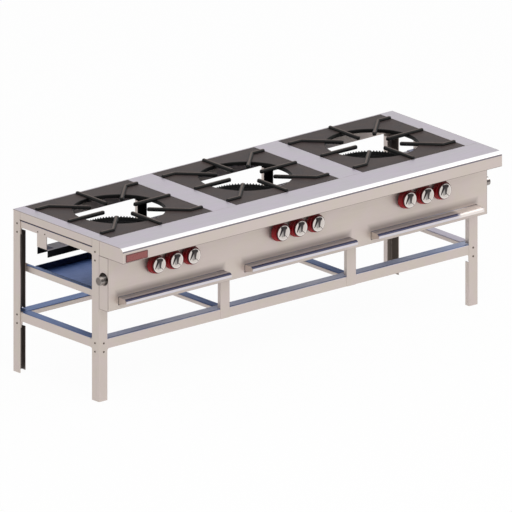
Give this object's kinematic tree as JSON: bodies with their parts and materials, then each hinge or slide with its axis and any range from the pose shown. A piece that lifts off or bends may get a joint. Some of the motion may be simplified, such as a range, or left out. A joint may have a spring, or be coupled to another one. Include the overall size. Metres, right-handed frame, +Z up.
{
  "type": "wok range",
  "caption": "Long open-frame gas wok range with cast fingered plates over dish burners, a front ledge, turning knobs, sliding drip trays with full-length pulls and a gas pipe through both ends.",
  "frame": {"origin": "middle of the part's footprint on the floor", "axes": "+Z up, -Y to the front where the knobs are, +X to the right as seen from the front"},
  "size_m": [1.848, 0.6266, 0.627],
  "materials": {
    "frame_steel": "satin",
    "sheet_steel": "satin",
    "tray_steel": "satin",
    "support_steel": "satin",
    "plate_iron": "satin",
    "burner_iron": "matte",
    "knob_red": "gloss",
    "knob_metal": "polished",
    "nameplate_red": "satin",
    "pipe_steel": "satin",
    "valve_brass": "satin",
    "tube_steel": "satin",
    "screw_steel": "satin"
  },
  "bodies": {
    "frame": {"leg_front_left": "frame_steel", "leg_front_right": "frame_steel", "leg_back_left": "frame_steel", "leg_back_right": "frame_steel", "front_posts": "frame_steel", "back_posts": "frame_steel", "lower_front_rail": "frame_steel", "lower_back_rail": "frame_steel", "lower_left_rail": "frame_steel", "lower_right_rail": "frame_steel", "lower_cross_rails": "frame_steel", "upper_left_rail": "frame_steel", "upper_right_rail": "frame_steel", "upper_back_rail": "frame_steel", "side_aprons": "frame_steel", "tray_runner_left": "frame_steel", "tray_runner_right": "frame_steel", "tray_runners_middle": "frame_steel", "worktop": "sheet_steel", "front_ledge": "sheet_steel", "nameplate": "nameplate_red", "control_panel": "sheet_steel", "burner_left": "burner_iron", "burner_middle": "burner_iron", "burner_right": "burner_iron", "burner_support": "support_steel", "support_hangers": "frame_steel", "gas_manifold": "pipe_steel", "manifold_plug": "pipe_steel", "gas_valves": "valve_brass", "gas_tubes": "tube_steel", "screws": "screw_steel"},
    "plate_left": {"cast_plate_left": "plate_iron"},
    "tray_left": {"drip_tray_left": "tray_steel", "tray_pull_left": "sheet_steel"},
    "knob_left_a": {"knob_left_a": "knob_red", "knob_face_left_a": "knob_metal"},
    "knob_left_b": {"knob_left_b": "knob_red", "knob_face_left_b": "knob_metal"},
    "knob_left_c": {"knob_left_c": "knob_red", "knob_face_left_c": "knob_metal"},
    "plate_middle": {"cast_plate_middle": "plate_iron"},
    "tray_middle": {"drip_tray_middle": "tray_steel", "tray_pull_middle": "sheet_steel"},
    "knob_middle_a": {"knob_middle_a": "knob_red", "knob_face_middle_a": "knob_metal"},
    "knob_middle_b": {"knob_middle_b": "knob_red", "knob_face_middle_b": "knob_metal"},
    "knob_middle_c": {"knob_middle_c": "knob_red", "knob_face_middle_c": "knob_metal"},
    "plate_right": {"cast_plate_right": "plate_iron"},
    "tray_right": {"drip_tray_right": "tray_steel", "tray_pull_right": "sheet_steel"},
    "knob_right_a": {"knob_right_a": "knob_red", "knob_face_right_a": "knob_metal"},
    "knob_right_b": {"knob_right_b": "knob_red", "knob_face_right_b": "knob_metal"},
    "knob_right_c": {"knob_right_c": "knob_red", "knob_face_right_c": "knob_metal"}
  },
  "joints": [
    {"name": "plate_left_lift", "type": "slide", "parent": "frame", "child": "plate_left", "axis": [0, 0, 1], "range_m": [0, 0.12]},
    {"name": "tray_left_slide", "type": "slide", "parent": "frame", "child": "tray_left", "axis": [0, -1, 0], "range_m": [0, 0.43]},
    {"name": "knob_left_a_turn", "type": "hinge", "parent": "frame", "child": "knob_left_a", "pos_m": [-0.6855, -0.2283, 0.501], "axis": [0, -1, 0], "range_deg": [0, 90]},
    {"name": "knob_left_b_turn", "type": "hinge", "parent": "frame", "child": "knob_left_b", "pos_m": [-0.6025, -0.2283, 0.501], "axis": [0, -1, 0], "range_deg": [0, 90]},
    {"name": "knob_left_c_turn", "type": "hinge", "parent": "frame", "child": "knob_left_c", "pos_m": [-0.5195, -0.2283, 0.501], "axis": [0, -1, 0], "range_deg": [0, 90]},
    {"name": "plate_middle_lift", "type": "slide", "parent": "frame", "child": "plate_middle", "axis": [0, 0, 1], "range_m": [0, 0.12]},
    {"name": "tray_middle_slide", "type": "slide", "parent": "frame", "child": "tray_middle", "axis": [0, -1, 0], "range_m": [0, 0.43]},
    {"name": "knob_middle_a_turn", "type": "hinge", "parent": "frame", "child": "knob_middle_a", "pos_m": [-0.096, -0.2283, 0.501], "axis": [0, -1, 0], "range_deg": [0, 90]},
    {"name": "knob_middle_b_turn", "type": "hinge", "parent": "frame", "child": "knob_middle_b", "pos_m": [-0.013, -0.2283, 0.501], "axis": [0, -1, 0], "range_deg": [0, 90]},
    {"name": "knob_middle_c_turn", "type": "hinge", "parent": "frame", "child": "knob_middle_c", "pos_m": [0.07, -0.2283, 0.501], "axis": [0, -1, 0], "range_deg": [0, 90]},
    {"name": "plate_right_lift", "type": "slide", "parent": "frame", "child": "plate_right", "axis": [0, 0, 1], "range_m": [0, 0.12]},
    {"name": "tray_right_slide", "type": "slide", "parent": "frame", "child": "tray_right", "axis": [0, -1, 0], "range_m": [0, 0.43]},
    {"name": "knob_right_a_turn", "type": "hinge", "parent": "frame", "child": "knob_right_a", "pos_m": [0.505, -0.2283, 0.501], "axis": [0, -1, 0], "range_deg": [0, 90]},
    {"name": "knob_right_b_turn", "type": "hinge", "parent": "frame", "child": "knob_right_b", "pos_m": [0.588, -0.2283, 0.501], "axis": [0, -1, 0], "range_deg": [0, 90]},
    {"name": "knob_right_c_turn", "type": "hinge", "parent": "frame", "child": "knob_right_c", "pos_m": [0.671, -0.2283, 0.501], "axis": [0, -1, 0], "range_deg": [0, 90]}
  ]
}
